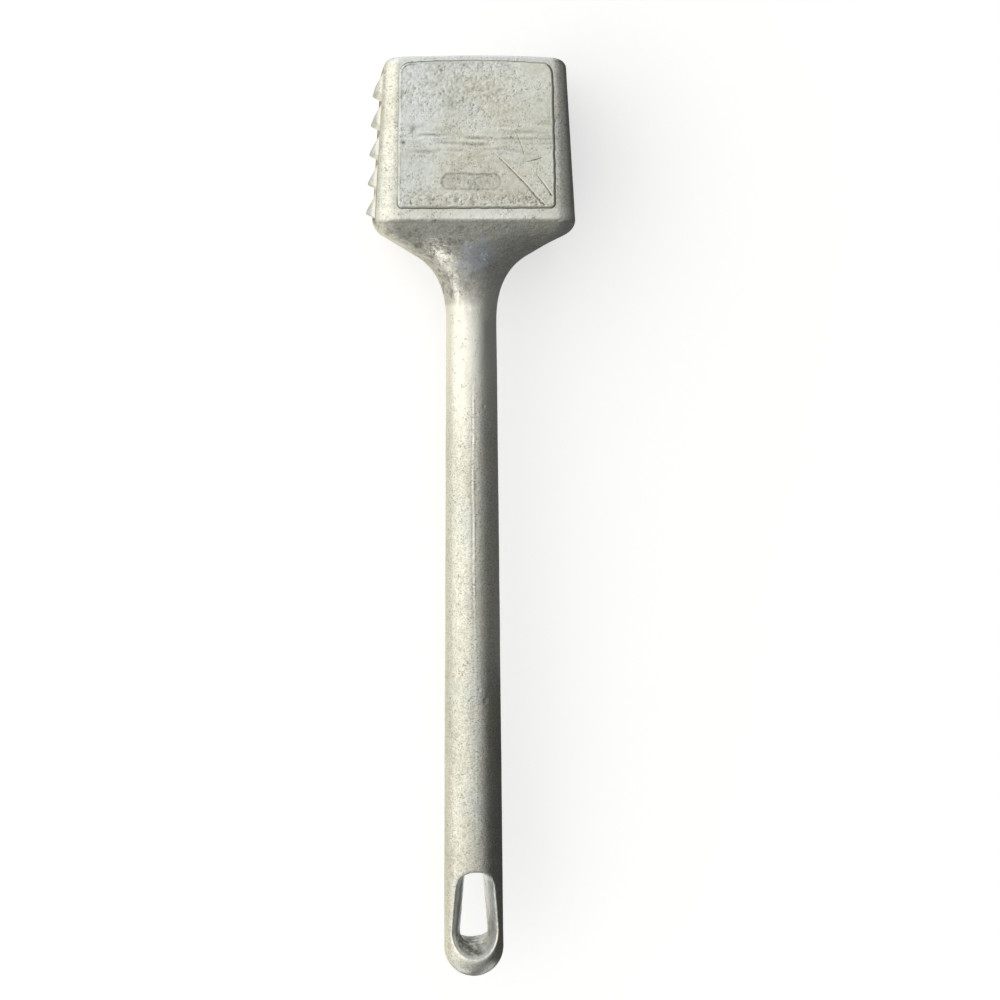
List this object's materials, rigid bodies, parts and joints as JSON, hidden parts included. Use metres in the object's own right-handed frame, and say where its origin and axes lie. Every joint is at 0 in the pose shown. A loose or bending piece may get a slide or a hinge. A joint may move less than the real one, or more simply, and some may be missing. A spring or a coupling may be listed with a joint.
{
  "type": "meat mallet",
  "caption": "Cast aluminium meat mallet in a single casting: block head with a coarse toothed face and a plain face, round handle, teardrop hanging eye.",
  "frame": {"origin": "on the flat face of the rear cheek panel, at the middle of the head's height and width; the mallet lies on this face", "axes": "+Y from the head's middle to the crown, so the handle runs along -Y; +X to the plain striking face and -X to the coarse teeth; +Z out of the front cheek, up when the mallet lies down"},
  "size_m": [0.0591, 0.2794, 0.047],
  "materials": {
    "cast_skin": "cast, worn, satin",
    "worn_panel": "cast, pitted and scratched, satin",
    "striking_skin": "cast, bright from use",
    "hand_rubbed": "rubbed smooth by the hand"
  },
  "bodies": {
    "root": {"head_block": "cast_skin", "coarse_tooth_face": "striking_skin", "plain_striking_face": "striking_skin", "front_cheek_panel": "worn_panel", "rear_cheek_panel": "worn_panel", "neck": "cast_skin", "handle_shank": "hand_rubbed", "hanging_eye": "hand_rubbed"}
  },
  "joints": []
}
